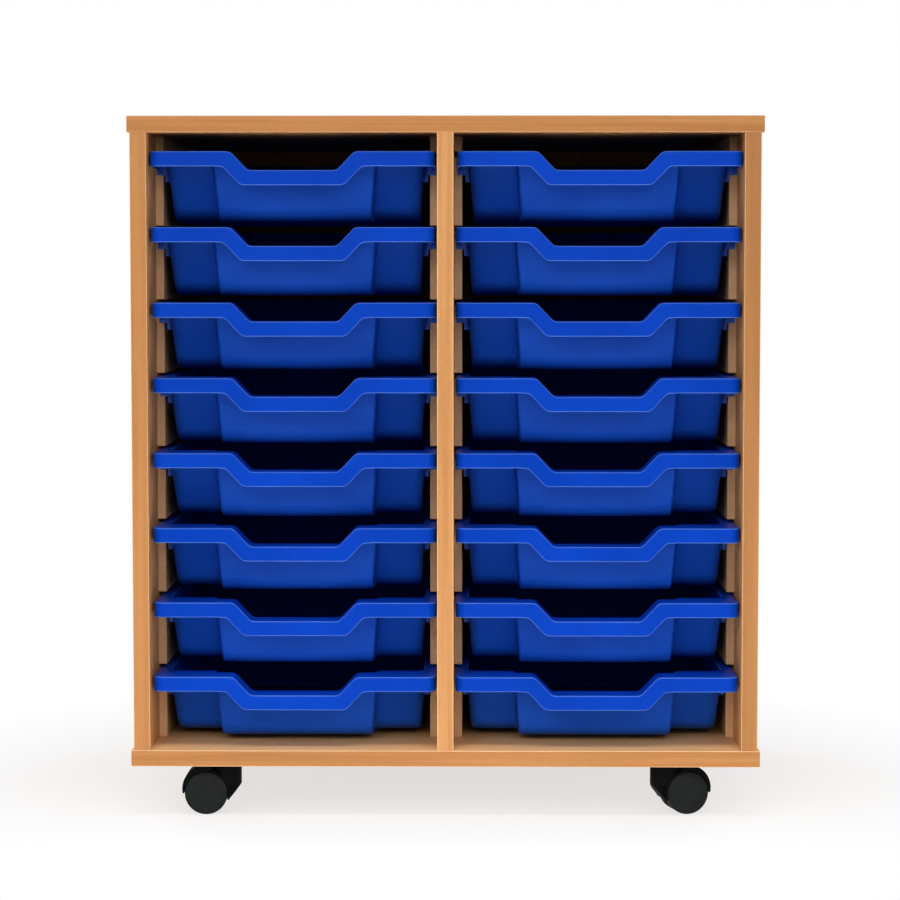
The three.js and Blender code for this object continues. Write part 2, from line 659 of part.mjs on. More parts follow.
function addCaster(name, x, y, turn) {
  const caster = new THREE.Group();
  caster.position.set(x, y, UNDERSIDE_Z);
  unit.add(caster);
  addMesh(caster, `${name}_plate`, casterPlate(), STEEL);
  const swivel = new THREE.Group();
  swivel.rotation.z = THREE.MathUtils.degToRad(turn);
  caster.add(swivel);
  addMesh(swivel, `${name}_hood`, casterHood(), CASTER_BLACK);
  const axle = addMesh(swivel, `${name}_axle`, casterAxle(), STEEL);
  axle.position.set(CASTER_TRAIL, 0, -WHEEL_DROP);
  const wheelFace = WEB_HALF_WIDTH + WHEEL_GAP;
  const first = addMesh(swivel, `${name}_wheel_a`, casterWheel(), WHEEL_GREY);
  first.position.set(CASTER_TRAIL, wheelFace, -WHEEL_DROP);
  const second = addMesh(swivel, `${name}_wheel_b`, casterWheel(), WHEEL_GREY);
  second.position.set(CASTER_TRAIL, -wheelFace, -WHEEL_DROP);
  second.rotation.z = Math.PI;
}

function addCasters() {
  const x = PANEL_WIDTH / 2 - CASTER_FROM_END;
  const frontY = FRONT_Y + CASTER_FROM_FRONT;
  const rearY = REAR_Y - CASTER_FROM_FRONT;
  for (const [end, y] of [["front", frontY], ["rear", rearY]]) {
    addCaster(`${end}_left_caster`, -x, y, LEFT_CASTER_TURN);
    addCaster(`${end}_right_caster`, x, y, RIGHT_CASTER_TURN);
  }
}

addPanels();
addLippings();
addRunners();
addTrays();
addCasters();

export default unit;
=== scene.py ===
"""Looks of the classroom tray storage unit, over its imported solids. Metres, +Z up, front at -Y."""

import math

import bmesh
import bpy
from mathutils import Matrix, Vector


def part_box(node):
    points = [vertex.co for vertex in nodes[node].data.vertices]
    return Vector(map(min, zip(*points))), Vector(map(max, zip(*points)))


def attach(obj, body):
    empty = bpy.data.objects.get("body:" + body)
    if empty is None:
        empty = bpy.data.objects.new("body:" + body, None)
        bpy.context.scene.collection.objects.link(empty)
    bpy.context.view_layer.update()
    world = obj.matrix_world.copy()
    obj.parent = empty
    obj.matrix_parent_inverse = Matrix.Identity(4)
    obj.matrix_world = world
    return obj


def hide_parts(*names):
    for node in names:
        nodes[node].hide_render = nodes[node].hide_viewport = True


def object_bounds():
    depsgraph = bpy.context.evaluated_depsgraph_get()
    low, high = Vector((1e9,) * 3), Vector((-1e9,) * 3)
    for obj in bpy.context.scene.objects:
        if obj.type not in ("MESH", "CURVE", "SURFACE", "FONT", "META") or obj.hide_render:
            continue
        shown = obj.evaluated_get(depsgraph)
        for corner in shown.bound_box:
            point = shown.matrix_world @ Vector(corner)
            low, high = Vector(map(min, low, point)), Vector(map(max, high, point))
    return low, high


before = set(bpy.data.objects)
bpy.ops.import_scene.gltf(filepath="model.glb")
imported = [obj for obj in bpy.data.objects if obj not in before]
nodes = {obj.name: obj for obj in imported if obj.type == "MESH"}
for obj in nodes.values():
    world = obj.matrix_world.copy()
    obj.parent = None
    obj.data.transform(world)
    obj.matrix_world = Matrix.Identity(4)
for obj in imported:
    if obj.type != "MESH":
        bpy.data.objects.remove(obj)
cad_low, cad_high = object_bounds()

MM = 0.001
WELD_WITHIN = 1e-6
MERGE_WITHIN = 1e-7
BEVEL_SEGMENTS = 2

# Angles between faces, in degrees
SHARP_BELOW = 30
SMOOTH_BELOW = 38
BEVEL_ABOVE = 40
ROUND_BELOW = 50

COLUMNS = ("left", "right")
ROWS = 8
CASTERS = ("front_left", "front_right", "rear_left", "rear_right")


# Small helpers for meshes

def new_object(name, mesh, material):
    """An object in the scene with one material"""
    mesh.materials.clear()
    mesh.materials.append(material)
    piece = bpy.data.objects.new(name, mesh)
    bpy.context.scene.collection.objects.link(piece)
    return piece


def to_mesh(name, form, smooth_below):
    """Closes a bmesh into a mesh that is smooth wherever its faces meet at less than the given angle"""
    bmesh.ops.recalc_face_normals(form, faces=form.faces)
    mesh = bpy.data.meshes.new(name)
    form.to_mesh(mesh)
    form.free()
    mesh.shade_smooth()
    mesh.set_sharp_from_angle(angle=math.radians(smooth_below))
    return mesh


def bridge(form, lower, upper):
    """Quads between two closed loops of equal count"""
    count = len(lower)
    for i in range(count):
        after = (i + 1) % count
        form.faces.new((lower[i], lower[after], upper[after], upper[i]))


def prism(form, outline, axis, start, end):
    """Fills an outline from start to end along an axis. The outline gives the other two, in order"""
    place = {
        "X": lambda a, b, along: (along, a, b),
        "Y": lambda a, b, along: (a, along, b),
        "Z": lambda a, b, along: (a, b, along),
    }[axis]
    near = [form.verts.new(place(a, b, start)) for a, b in outline]
    far = [form.verts.new(place(a, b, end)) for a, b in outline]
    bridge(form, near, far)
    form.faces.new(near)
    form.faces.new(far)


def turned(form, profile, sides):
    """Turns a profile of (radius, height) about Z. A radius of 0 closes the end"""
    loops = []
    for radius, height in profile:
        if radius == 0:
            loops.append([form.verts.new((0, 0, height))])
            continue
        angles = [2 * math.pi * i / sides for i in range(sides)]
        places = [(radius * math.cos(a), radius * math.sin(a), height) for a in angles]
        loops.append([form.verts.new(place) for place in places])
    for lower, upper in zip(loops, loops[1:]):
        if len(lower) == 1 or len(upper) == 1:
            tip, ring = (lower[0], upper) if len(lower) == 1 else (upper[0], lower)
            for i in range(sides):
                form.faces.new((tip, ring[i], ring[(i + 1) % sides]))
        else:
            bridge(form, lower, upper)


def quarter(steps):
    """(sine, cosine) over a quarter turn"""
    angles = [math.pi / 2 * i / steps for i in range(steps + 1)]
    return [(math.sin(a), math.cos(a)) for a in angles]


def combine(base, other, operation):
    """Joins or cuts one mesh with another, and uses both up"""
    first = bpy.data.objects.new("first", base)
    second = bpy.data.objects.new("second", other)
    for piece in (first, second):
        bpy.context.scene.collection.objects.link(piece)
    cut = first.modifiers.new("cut", "BOOLEAN")
    cut.operation = operation
    cut.solver = "EXACT"
    cut.object = second
    depsgraph = bpy.context.evaluated_depsgraph_get()
    made = bpy.data.meshes.new_from_object(first.evaluated_get(depsgraph))
    for piece in (first, second):
        bpy.data.objects.remove(piece)
    return made


def smoothing_group(degrees):
    """A node group that shades a mesh smooth wherever its faces meet at less than the given angle"""
    group = bpy.data.node_groups.new("smooth_by_angle", "GeometryNodeTree")
    for way in ("INPUT", "OUTPUT"):
        group.interface.new_socket("Geometry", in_out=way, socket_type="NodeSocketGeometry")
    start = group.nodes.new("NodeGroupInput")
    end = group.nodes.new("NodeGroupOutput")
    bend = group.nodes.new("GeometryNodeInputMeshEdgeAngle")
    gentle = group.nodes.new("FunctionNodeCompare")
    gentle.operation = "LESS_THAN"
    gentle.inputs["B"].default_value = math.radians(degrees)
    smooth_faces = group.nodes.new("GeometryNodeSetShadeSmooth")
    smooth_edges = group.nodes.new("GeometryNodeSetShadeSmooth")
    smooth_edges.domain = "EDGE"
    group.links.new(bend.outputs["Unsigned Angle"], gentle.inputs["A"])
    group.links.new(gentle.outputs["Result"], smooth_edges.inputs["Shade Smooth"])
    group.links.new(start.outputs[0], smooth_faces.inputs[0])
    group.links.new(smooth_faces.outputs[0], smooth_edges.inputs[0])
    group.links.new(smooth_edges.outputs[0], end.inputs[0])
    return group


smooth_by_angle = smoothing_group(SMOOTH_BELOW)


def soften(piece, width):
    """Breaks the sharp edges of a piece and evens its shading"""
    weld = piece.modifiers.new("weld", "WELD")
    weld.merge_threshold = WELD_WITHIN
    bevel = piece.modifiers.new("edges", "BEVEL")
    bevel.width = width
    bevel.segments = BEVEL_SEGMENTS
    bevel.limit_method = "ANGLE"
    bevel.angle_limit = math.radians(BEVEL_ABOVE)
    smooth = piece.modifiers.new("smooth", "NODES")
    smooth.node_group = smooth_by_angle
    even = piece.modifiers.new("shading", "WEIGHTED_NORMAL")
    even.keep_sharp = True


# Small helpers for materials

def colour(red, green, blue):
    """A screen colour, 0 to 255, as the linear colour that shaders take"""
    def linear(level):
        share = level / 255
        return share / 12.92 if share <= 0.04045 else ((share + 0.055) / 1.055) ** 2.4
    return (linear(red), linear(green), linear(blue), 1.0)


def new_material(name):
    """A material, its node tree and its shader"""
    material = bpy.data.materials.new(name)
    material.use_nodes = True
    return material, material.node_tree, material.node_tree.nodes["Principled BSDF"]


def noise(tree, scale, detail, rough=0.5):
    """Noise in the piece's own frame, scaled in features per metre: one number, or one for each axis"""
    place = tree.nodes.new("ShaderNodeTexCoord")
    stretch = tree.nodes.new("ShaderNodeMapping")
    stretch.inputs["Scale"].default_value = scale if hasattr(scale, "__len__") else (scale,) * 3
    pattern = tree.nodes.new("ShaderNodeTexNoise")
    pattern.inputs["Scale"].default_value = 1.0
    pattern.inputs["Detail"].default_value = detail
    pattern.inputs["Roughness"].default_value = rough
    tree.links.new(place.outputs["Object"], stretch.inputs["Vector"])
    tree.links.new(stretch.outputs["Vector"], pattern.inputs["Vector"])
    return pattern.outputs["Fac"]


def spread(tree, value, low, high, to_low=0.0, to_high=1.0):
    """Maps a value from one range to another, and holds it there"""
    remap = tree.nodes.new("ShaderNodeMapRange")
    ends = {"From Min": low, "From Max": high, "To Min": to_low, "To Max": to_high}
    for socket, number in ends.items():
        remap.inputs[socket].default_value = number
    tree.links.new(value, remap.inputs["Value"])
    return remap.outputs["Result"]


def math_node(tree, operation, first, second):
    """One step of arithmetic on values or plain numbers"""
    node = tree.nodes.new("ShaderNodeMath")
    node.operation = operation
    for socket, value in zip(node.inputs, (first, second)):
        if isinstance(value, (int, float)):
            socket.default_value = value
        else:
            tree.links.new(value, socket)
    return node.outputs["Value"]


def blend_values(tree, first, second):
    """The mean of two values"""
    return math_node(tree, "MULTIPLY", math_node(tree, "ADD", first, second), 0.5)


def blend_colours(tree, share, first, second):
    """Goes from the first colour to the second as the share goes from 0 to 1"""
    node = tree.nodes.new("ShaderNodeMix")
    node.data_type = "RGBA"
    factor, a, b = node.inputs[0], node.inputs[6], node.inputs[7]
    tree.links.new(share, factor)
    for socket, value in ((a, first), (b, second)):
        if isinstance(value, tuple):
            socket.default_value = value
        else:
            tree.links.new(value, socket)
    return node.outputs[2]


def bump(tree, surface, height, distance, strength):
    """Fine relief on a surface. The distance is in metres"""
    node = tree.nodes.new("ShaderNodeBump")
    node.inputs["Strength"].default_value = strength
    node.inputs["Distance"].default_value = distance
    tree.links.new(height, node.inputs["Height"])
    tree.links.new(node.outputs["Normal"], surface.inputs["Normal"])


# Materials

FLECK_SHADE = 0.6
FLECK_SHARE = 0.4
BOARD_SHINE = 0.15
BOARD_RELIEF = 0.00005
TRAY_SHINE = 0.06
TRAY_RELIEF = 0.00003
DARK_SHINE = 0.08
DARK_RELIEF = 0.00004


def beech(name, grain, pale, deep, edge, raw_rear=False):
    """Beech-faced board or edging: soft figure, fine streaks and short dark flecks along the grain.
    The edge colour is a painted highlight on its rounded arrises"""
    material, tree, surface = new_material(name)
    along = "XYZ".index(grain)

    def grained(long_scale, cross_scale, detail, rough=0.5):
        scale = [cross_scale] * 3
        scale[along] = long_scale
        return noise(tree, scale, detail, rough)

    figure = spread(tree, grained(1.4, 34, 3), 0.35, 0.65)
    streaks = spread(tree, grained(3.5, 240, 4, 0.55), 0.3, 0.7)
    flecks = spread(tree, grained(90, 1300, 2), 0.62, 0.7)
    wood = blend_colours(tree, blend_values(tree, figure, streaks), deep, pale)
    fleck_colour = tuple(channel * FLECK_SHADE for channel in deep[:3]) + (1.0,)
    wood = blend_colours(tree, math_node(tree, "MULTIPLY", flecks, FLECK_SHARE), wood, fleck_colour)
    # painted highlight on the rounded arrises
    wood = blend_colours(tree, arris_highlight(tree), wood, edge)
    if raw_rear:
        wood = blend_colours(tree, rear_facing(tree), wood, chipboard(tree))
    tree.links.new(wood, surface.inputs["Base Color"])
    tree.links.new(spread(tree, streaks, 0, 1, 0.55, 0.45), surface.inputs["Roughness"])
    surface.inputs["Specular IOR Level"].default_value = BOARD_SHINE
    bump(tree, surface, math_node(tree, "SUBTRACT", streaks, flecks), BOARD_RELIEF, 0.6)
    return material


def arris_highlight(tree):
    """1 on the rounded edges between flat faces, where a painted highlight lightens the wood.
    The parts of a normal add up to 1 on a face square to an axis, and to more on a rounding"""
    place = tree.nodes.new("ShaderNodeTexCoord")
    lengths = tree.nodes.new("ShaderNodeVectorMath")
    lengths.operation = "ABSOLUTE"
    total = tree.nodes.new("ShaderNodeVectorMath")
    total.operation = "DOT_PRODUCT"
    total.inputs[1].default_value = (1, 1, 1)
    tree.links.new(place.outputs["Normal"], lengths.inputs[0])
    tree.links.new(lengths.outputs["Vector"], total.inputs[0])
    return spread(tree, total.outputs["Value"], 1.06, 1.22)


def rear_facing(tree):
    """1 on faces that look to the rear of the unit"""
    place = tree.nodes.new("ShaderNodeTexCoord")
    axes = tree.nodes.new("ShaderNodeSeparateXYZ")
    tree.links.new(place.outputs["Normal"], axes.inputs["Vector"])
    return spread(tree, axes.outputs["Y"], 0.9, 0.95)


def chipboard(tree):
    """The bare chipboard of an edge that has no edging"""
    chips = spread(tree, noise(tree, (420, 420, 650), 4, 0.7), 0.35, 0.65)
    return blend_colours(tree, chips, colour(122, 90, 58), colour(206, 172, 124))


def attribute(tree, name):
    """A value kept on the vertices of a mesh"""
    node = tree.nodes.new("ShaderNodeAttribute")
    node.attribute_name = name
    return node.outputs["Fac"]


def tray_plastic():
    """Moulded blue plastic: fine grain, faint clouds of tone, a greyer blue on the body, and a painted
    highlight along the rounded edges
    """
    material, tree, surface = new_material("tray_blue")
    clouds = spread(tree, noise(tree, 9, 3), 0.35, 0.65)
    rim = blend_colours(tree, clouds, colour(0, 60, 178), colour(2, 66, 190))
    body = blend_colours(tree, clouds, colour(20, 76, 186), colour(26, 84, 198))
    blue = blend_colours(tree, attribute(tree, "body"), rim, body)
    scuffs = spread(tree, noise(tree, (260, 260, 900), 5, 0.65), 0.66, 0.76, 0.0, 0.25)
    blue = blend_colours(tree, scuffs, blue, colour(50, 100, 214))
    patchy = spread(tree, noise(tree, 60, 3), 0.3, 0.7, 0.7, 1.0)
    # Painted highlight along the rounded edges of band, rim and mouth, patchy along its length
    painted_highlight = math_node(tree, "MULTIPLY", attribute(tree, "edge"), patchy)
    blue = blend_colours(tree, painted_highlight, blue, colour(84, 126, 220))
    tree.links.new(blue, surface.inputs["Base Color"])
    tree.links.new(spread(tree, clouds, 0, 1, 0.36, 0.46), surface.inputs["Roughness"])
    surface.inputs["Specular IOR Level"].default_value = TRAY_SHINE
    bump(tree, surface, noise(tree, 2600, 2), TRAY_RELIEF, 0.5)
    return material


def dark_plastic(name, low, high, rough, grain):
    """Black or grey moulded plastic with a fine grain"""
    material, tree, surface = new_material(name)
    clouds = spread(tree, noise(tree, 120, 4), 0.3, 0.7)
    tree.links.new(blend_colours(tree, clouds, low, high), surface.inputs["Base Color"])
    tree.links.new(spread(tree, clouds, 0, 1, rough - 0.05, rough + 0.05), surface.inputs["Roughness"])
    surface.inputs["Specular IOR Level"].default_value = DARK_SHINE
    bump(tree, surface, noise(tree, 1800, 2), DARK_RELIEF, grain)
    return material


def zinc_steel():
    """Plated sheet steel with faint spangle and brushing"""
    material, tree, surface = new_material("plated_steel")
    brushed = spread(tree, noise(tree, (40, 1500, 40), 4), 0.3, 0.7)
    spangle = spread(tree, noise(tree, 220, 3), 0.35, 0.65)
    tone = math_node(tree, "MULTIPLY", brushed, spangle)
    steel = blend_colours(tree, tone, colour(150, 152, 154), colour(196, 198, 198))
    tree.links.new(steel, surface.inputs["Base Color"])
    tree.links.new(spread(tree, brushed, 0, 1, 0.28, 0.45), surface.inputs["Roughness"])
    surface.inputs["Metallic"].default_value = 1.0
    return material


# Painted highlights for rounded arrises, strongest on the divider's and the bottom's edging
ARRIS_HIGHLIGHT = colour(226, 170, 120)
STRONG_ARRIS_HIGHLIGHT = colour(240, 188, 138)
STRONGEST_ARRIS_HIGHLIGHT = colour(255, 210, 162)
PALE_BEECH = colour(217, 155, 95)
DEEP_BEECH = colour(177, 115, 62)
level_board = beech(
    "level_board", "X", colour(226, 164, 102), colour(212, 147, 87), ARRIS_HIGHLIGHT, raw_rear=True)
# Paler than the other boards: painted light on the bottom board's top, which lies in the trays' shade
lit_bottom_board = beech(
    "lit_bottom_board", "X", colour(252, 200, 140), colour(240, 184, 122), ARRIS_HIGHLIGHT, raw_rear=True)
upright_board = beech(
    "upright_board", "Z", colour(236, 173, 108), colour(222, 156, 92), ARRIS_HIGHLIGHT, raw_rear=True)
back_board = beech("back_board", "Z", colour(206, 150, 100), colour(184, 124, 78), ARRIS_HIGHLIGHT)
top_edging = beech("top_edging", "X", PALE_BEECH, DEEP_BEECH, ARRIS_HIGHLIGHT)
bottom_edging = beech("bottom_edging", "X", PALE_BEECH, DEEP_BEECH, STRONGEST_ARRIS_HIGHLIGHT)
end_edging = beech("end_edging", "Y", PALE_BEECH, DEEP_BEECH, ARRIS_HIGHLIGHT)
# One beech edging in three tones for the light on each upright: the right side's darker as painted
# shade, the divider's paler as a painted highlight at the middle of the front
left_edging = beech("left_edging", "Z", colour(208, 146, 88), colour(188, 126, 72), STRONG_ARRIS_HIGHLIGHT)
right_edging_shaded = beech("right_edging_shaded", "Z", colour(195, 136, 82), colour(176, 118, 67), STRONG_ARRIS_HIGHLIGHT)
divider_edging_highlit = beech("divider_edging_highlit", "Z", colour(233, 175, 113), colour(195, 127, 71), STRONGEST_ARRIS_HIGHLIGHT)
# Paler than the boards: painted light on the runners, which lie in shade between the trays
lit_runner_wood = beech("lit_runner_wood", "Y", colour(240, 194, 146), colour(220, 172, 122), ARRIS_HIGHLIGHT)
blue_plastic = tray_plastic()
hood_black = dark_plastic("hood_black", colour(4, 4, 5), colour(9, 9, 10), 0.65, 0.3)
wheel_grey = dark_plastic("wheel_grey", colour(31, 34, 35), colour(39, 42, 43), 0.6, 0.5)
plated_steel = zinc_steel()


# Boards, edging and runners keep their solids

def finish_node(name, material, edge):
    """Gives a solid its material and breaks its edges"""
    piece = nodes[name]
    piece.data.materials.clear()
    piece.data.materials.append(material)
    soften(piece, edge)


BOARD_EDGE = 0.3 * MM
EDGING_EDGE = 0.25 * MM
RUNNER_EDGE = 1.2 * MM
PLATE_EDGE = 0.4 * MM

finish_node("top_panel", level_board, BOARD_EDGE)
finish_node("bottom_panel", lit_bottom_board, BOARD_EDGE)
for board in ("left_side_panel", "right_side_panel", "centre_divider"):
    finish_node(board, upright_board, BOARD_EDGE)
finish_node("back_panel", back_board, BOARD_EDGE)
for level, edging in (("top", top_edging), ("bottom", bottom_edging)):
    finish_node(f"{level}_front_lipping", edging, EDGING_EDGE)
    for end in ("left", "right"):
        finish_node(f"{level}_{end}_lipping", end_edging, EDGING_EDGE)
finish_node("left_side_front_lipping", left_edging, EDGING_EDGE)
finish_node("right_side_front_lipping", right_edging_shaded, EDGING_EDGE)
finish_node("divider_front_lipping", divider_edging_highlit, EDGING_EDGE)
for bay in COLUMNS:
    for side in ("left", "right"):
        finish_node(f"{bay}_bay_{side}_runner", lit_runner_wood, RUNNER_EDGE)


# Trays. Local frame: x across from the middle, y back from the front edge, z down from the rim's top

tray_low, tray_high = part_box("tray_left_1")
TRAY_HALF = (tray_high.x - tray_low.x) / 2
TRAY_DEPTH = tray_high.y - tray_low.y
TRAY_HEIGHT = tray_high.z - tray_low.z
RIM = 3 * MM
WALL = 2 * MM
RIM_CORNER = 11 * MM
SIDE_RIM = 12 * MM
REAR_RIM = 12 * MM
BODY_HALF = TRAY_HALF - SIDE_RIM
BODY_CORNER = 14 * MM
SIDE_DRAFT = 6 * MM
REAR_DRAFT = 9 * MM
BAND_HEIGHT = 16.5 * MM
BAND_THICK = 2.5 * MM
BAND_END = 76 * MM
BAND_END_STEP = 0.1 * MM
FLOOR_ROUND = 16 * MM
KNEE_SHARE = (TRAY_HEIGHT - FLOOR_ROUND) / TRAY_HEIGHT

# Front wall: setbacks from the front edge at the rim, lean down to the foot, and reach under the floor
CORNER_SETBACK = 47 * MM
CORNER_SLOPE = 26 * MM
CORNER_FLOOR_RUN = 45 * MM
BULGE_SETBACK = 33 * MM
BULGE_SLOPE = 12 * MM
BULGE_FLOOR_RUN = 26 * MM
BULGE_HALF = 92 * MM
BULGE_DRAFT = 6 * MM
BULGE_FLANK = 2 * MM
BULGE_ROUND = 4 * MM
SIDE_FLOOR_RUN = 2.5 * MM

# The dip in the front rim
DIP_DEPTH = 20.5 * MM
DIP_FLOOR_HALF = 48.5 * MM
DIP_RUN = 19.5 * MM
DIP_BAND_SPREAD = 8 * MM
DIP_ROUND = 9 * MM

# Rounded edges
RIM_EDGE = 1.4 * MM
MOUTH_EDGE = 1.4 * MM
BAND_FOOT_EDGE = 0.7 * MM
# Width over which the painted highlight on the band's edges fades into its face
HIGHLIGHT_FADE = 0.4 * MM
INSIDE_EDGE = 0.8 * MM
EDGE_STEPS = 3
CORNER_STEPS = 7
BULGE_STEPS = 4
FLOOR_STEPS = 6

# Loops of the underside and outer wall, which have the body's greyer tone
OUTER_WALL_LOOPS = FLOOR_STEPS + 3

# Places along the front, sides and rear where the tray's section is drawn, closest at the dip's bends
BEND_START_MM = 44
BEND_STEP_MM = 1.5
BEND_PLACES = 23
FRONT_PLACES = [x * MM for x in (0, 15, 30, 42)]
FRONT_PLACES += [(BEND_START_MM + BEND_STEP_MM * i) * MM for i in range(BEND_PLACES)]
STRETCH_FROM = 100 * MM
SIDE_PLACES = [y * MM for y in (30, 60)] + [BAND_END - BAND_END_STEP, BAND_END + BAND_END_STEP]
SIDE_PLACES += [y * MM for y in (120, 200, 280, 360)]
REAR_SHARES = (0.75, 0.4, 0.0)


def dip_height(x, drop, spread_out):
    """Height of the dip line at x: level at the ends, lower in the middle, its four bends rounded"""
    turn = math.atan2(DIP_DEPTH, DIP_RUN)
    reach = DIP_ROUND * math.tan(turn / 2)
    width = DIP_ROUND * math.sin(turn)
    foot = DIP_FLOOR_HALF + spread_out
    brink = foot + DIP_RUN
    x = abs(x)
    if x <= foot - reach:
        height = -DIP_DEPTH
    elif x < foot - reach + width:
        height = DIP_ROUND - DIP_DEPTH - math.sqrt(DIP_ROUND ** 2 - (x - foot + reach) ** 2)
    elif x <= brink + reach - width:
        height = (x - brink) * DIP_DEPTH / DIP_RUN
    elif x < brink + reach:
        height = math.sqrt(DIP_ROUND ** 2 - (x - brink - reach) ** 2) - DIP_ROUND
    else:
        height = 0.0
    return height - drop


def rounded(before, corner, after, radius, steps):
    """Points round a bend of an outline, as a parabola that meets both sides"""
    to_before = (before - corner).normalized()
    to_after = (after - corner).normalized()
    reach = radius / math.tan(to_before.angle(to_after) / 2)
    start = corner + to_before * reach
    end = corner + to_after * reach
    shares = [i / steps for i in range(steps + 1)]
    return [start * (1 - t) ** 2 + corner * 2 * t * (1 - t) + end * t ** 2 for t in shares]


def mirrored(half):
    """Completes the right half of an outline, whose first and last points are on the middle line"""
    return half + [Vector((-p.x, p.y)) for p in reversed(half[1:-1])]


def body_plan(half_width, bulge_half, corner_y, bulge_y, rear_y, inset):
    """Outline of the tray's body at one height. The inset moves its walls inwards"""
    side = half_width - inset
    flank = bulge_half - inset
    front = corner_y + inset
    nose = bulge_y + inset
    rear = rear_y - inset
    nose_corner = Vector((flank - BULGE_FLANK, nose))
    flank_corner = Vector((flank, front))
    front_corner = Vector((side, front))
    rear_corner = Vector((side, rear))
    half = [Vector((x * bulge_half / BULGE_HALF, nose)) for x in FRONT_PLACES]
    half += rounded(Vector((0, nose)), nose_corner, flank_corner, BULGE_ROUND, BULGE_STEPS)
    half += rounded(nose_corner, flank_corner, front_corner, BULGE_ROUND, BULGE_STEPS)
    half += [Vector(((flank + side) / 2, front))]
    half += rounded(flank_corner, front_corner, rear_corner, BODY_CORNER, CORNER_STEPS)
    low, high = front + BODY_CORNER, rear - BODY_CORNER
    shares = [(y - RIM_CORNER) / (TRAY_DEPTH - 2 * RIM_CORNER) for y in SIDE_PLACES]
    half += [Vector((side, low + (high - low) * share)) for share in shares]
    half += rounded(front_corner, rear_corner, Vector((0, rear)), BODY_CORNER, CORNER_STEPS)
    half += [Vector(((side - BODY_CORNER) * share, rear)) for share in REAR_SHARES]
    return mirrored(half)


def rim_plan(mouth):
    """Outline of the rim, point for point beside the body's mouth, and the outward direction there"""
    arc_start = BODY_HALF - BODY_CORNER
    straight = TRAY_HALF - RIM_CORNER
    points, outward = [], []
    bulge_count = len(FRONT_PLACES) + 2 * (BULGE_STEPS + 1) + 1
    for p in mouth[:bulge_count]:
        beyond = max(0.0, p.x - STRETCH_FROM) * (straight - STRETCH_FROM) / (arc_start - STRETCH_FROM)
        points.append(Vector((min(p.x, STRETCH_FROM) + beyond, 0)))
        outward.append(Vector((0, -1)))
    turns = [math.pi / 2 * i / CORNER_STEPS for i in range(CORNER_STEPS + 1)]
    for turn in turns:
        outward.append(Vector((math.sin(turn), -math.cos(turn))))
        points.append(Vector((straight, RIM_CORNER)) + outward[-1] * RIM_CORNER)
    for y in SIDE_PLACES:
        outward.append(Vector((1, 0)))
        points.append(Vector((TRAY_HALF, y)))
    for turn in turns:
        outward.append(Vector((math.cos(turn), math.sin(turn))))
        points.append(Vector((straight, TRAY_DEPTH - RIM_CORNER)) + outward[-1] * RIM_CORNER)
    for share in REAR_SHARES:
        outward.append(Vector((0, 1)))
        points.append(Vector((straight * share, TRAY_DEPTH)))
    return mirrored(points), mirrored(outward)


class TrayBody:
    """The tray's wall, outside or inside, as points by place round the tray and by height"""

    def __init__(self, inset):
        rear = TRAY_DEPTH - REAR_RIM
        corner_knee = CORNER_SETBACK + CORNER_SLOPE
        bulge_knee = BULGE_SETBACK + BULGE_SLOPE
        side_knee = BODY_HALF - SIDE_DRAFT * KNEE_SHARE
        rear_knee = rear - REAR_DRAFT * KNEE_SHARE
        bulge_knee_half = BULGE_HALF - BULGE_DRAFT * KNEE_SHARE
        self.floor_z = inset - TRAY_HEIGHT
        self.knee_z = -TRAY_HEIGHT * KNEE_SHARE
        self.mouth = body_plan(BODY_HALF, BULGE_HALF, CORNER_SETBACK, BULGE_SETBACK, rear, inset)
        self.knee = body_plan(side_knee, bulge_knee_half, corner_knee, bulge_knee, rear_knee, inset)
        self.floor = body_plan(
            side_knee - SIDE_FLOOR_RUN,
            BULGE_HALF - BULGE_DRAFT,
            corner_knee + CORNER_FLOOR_RUN,
            bulge_knee + BULGE_FLOOR_RUN,
            rear_knee - SIDE_FLOOR_RUN,
            inset,
        )

    def wall(self, i, z):
        """Point on the straight part of the wall"""
        plan = self.mouth[i].lerp(self.knee[i], z / self.knee_z)
        return Vector((plan.x, plan.y, z))

    def foot(self, i, t):
        """Point on the rounded foot of the wall, from the knee at t = 0 to the floor at t = 1"""
        knee = self.wall(i, self.knee_z)
        bend = self.wall(i, self.floor_z)
        floor = Vector((*self.floor[i], self.floor_z))
        return knee * (1 - t) ** 2 + bend * 2 * t * (1 - t) + floor * t ** 2


def band_foot(place):
    """Height of the lower edge of the band, or of the rim where there is no band"""
    if place.y > BAND_END:
        return -RIM
    return dip_height(place.x, BAND_HEIGHT, DIP_BAND_SPREAD)


